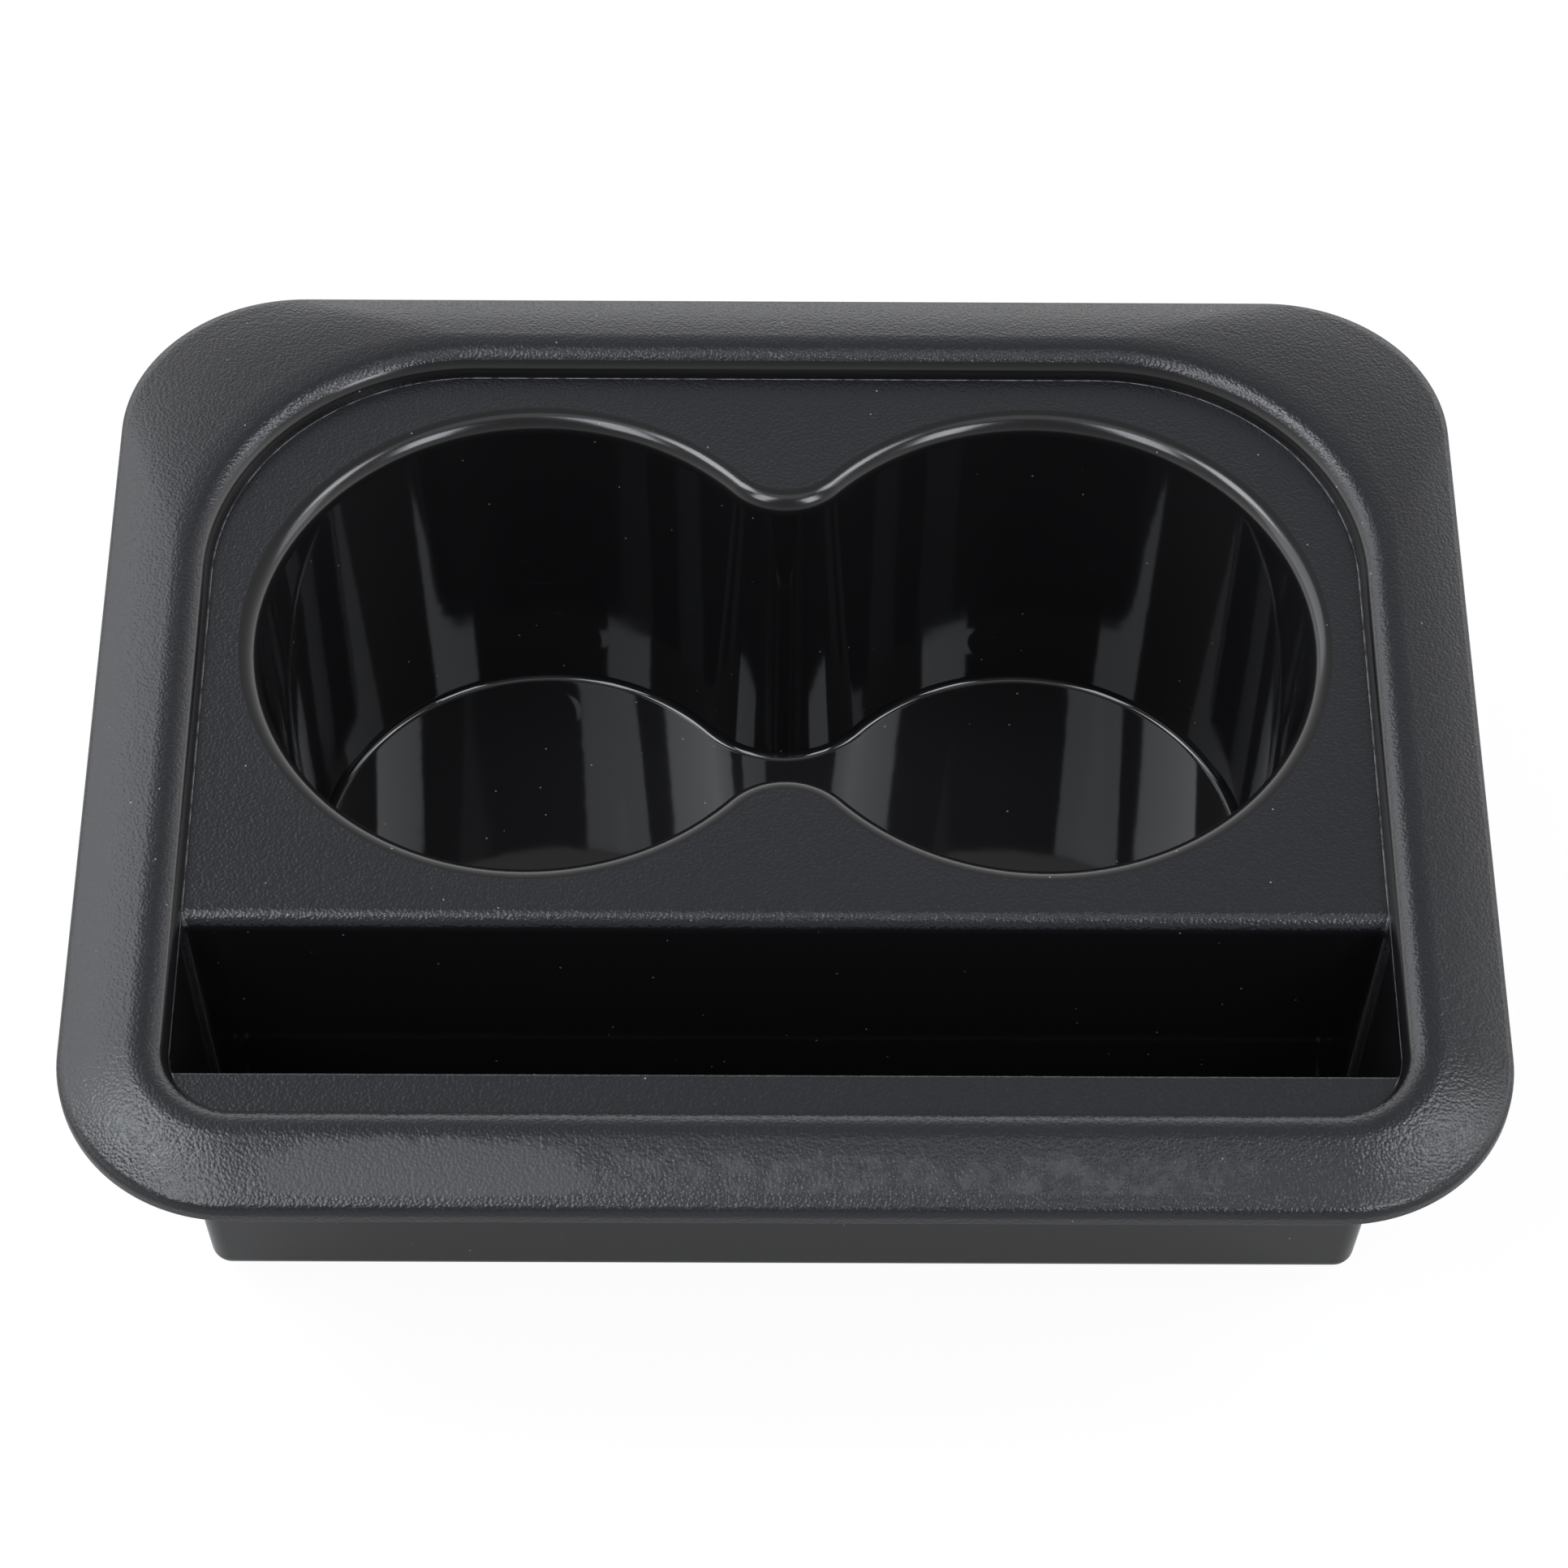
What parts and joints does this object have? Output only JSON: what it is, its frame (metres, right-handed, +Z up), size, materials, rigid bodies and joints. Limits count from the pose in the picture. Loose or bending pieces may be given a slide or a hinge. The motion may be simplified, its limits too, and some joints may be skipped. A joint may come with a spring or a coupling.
{
  "type": "car cup holder",
  "caption": "Black moulded drop-in cup holder tray for a car console, with a rolled rim, joined drafted wells for cups and a cross slot in front of them.",
  "frame": {"origin": "middle of the footprint, on the underside of the well floors", "axes": "+X across the car, along the tray's width; +Y to the rear of the tray, away from the slot; +Z up"},
  "size_m": [0.2, 0.161, 0.0641],
  "materials": {
    "black_plastic": "fine moulded grain on the rim and floor, smooth and glossier in the wells"
  },
  "bodies": {
    "root": {"cup_holder_tray": "black_plastic"}
  },
  "joints": []
}
